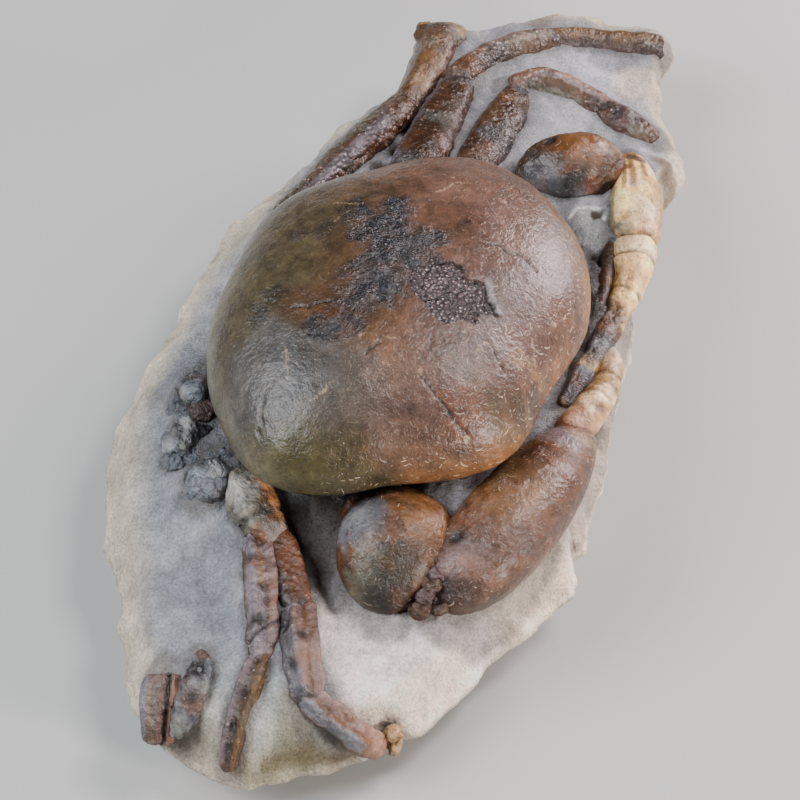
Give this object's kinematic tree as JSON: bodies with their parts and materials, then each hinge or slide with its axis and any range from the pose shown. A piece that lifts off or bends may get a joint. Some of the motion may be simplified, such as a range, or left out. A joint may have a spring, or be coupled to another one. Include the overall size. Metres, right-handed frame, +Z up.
{
  "type": "fossil crab",
  "caption": "Fossil crab on its slab of stone: a domed carapace with folded claws and jointed legs standing out of a long pale nodule that lies flat",
  "frame": {"origin": "Middle of the flat spot under the slab, on the surface that it rests on", "axes": "+Z up, away from the surface; +Y along the slab towards the end with the left legs; +X towards the claws"},
  "size_m": [0.1612, 0.2688, 0.076],
  "materials": {
    "stone": "matte, pale grey-blue inside a cream rind",
    "carapace_shell": "semi-gloss brown fossil shell",
    "claw_shell": "glossy red-brown fossil shell",
    "pale_shell": "semi-gloss pale ochre fossil shell",
    "leg_shell": "semi-gloss mottled brown fossil shell",
    "weathered_shell": "rough dark grey fossil shell"
  },
  "bodies": {
    "root": {"stone_slab": "stone", "carapace": "carapace_shell", "left_claw_carpus": "claw_shell", "left_claw_finger": "claw_shell", "left_claw_palm": "pale_shell", "right_claw_carpus": "claw_shell", "right_claw_finger": "claw_shell", "right_claw_merus": "claw_shell", "right_claw_palm": "claw_shell", "left_leg_1_middle": "leg_shell", "left_leg_1_tip": "leg_shell", "left_leg_1_upper": "leg_shell", "left_leg_2_middle": "leg_shell", "left_leg_2_tip": "leg_shell", "left_leg_2_upper": "leg_shell", "left_leg_3_lower": "leg_shell", "left_leg_3_upper": "leg_shell", "right_leg_1_middle": "leg_shell", "right_leg_1_tip": "leg_shell", "right_leg_1_upper": "leg_shell", "right_leg_2_lower": "leg_shell", "right_leg_2_upper": "leg_shell", "right_leg_base": "leg_shell", "leg_stub_1": "weathered_shell", "leg_stub_2": "weathered_shell", "leg_stub_3": "weathered_shell", "leg_tip_fragment": "weathered_shell", "shell_fragment_1": "weathered_shell", "shell_fragment_2": "weathered_shell"}
  },
  "joints": []
}
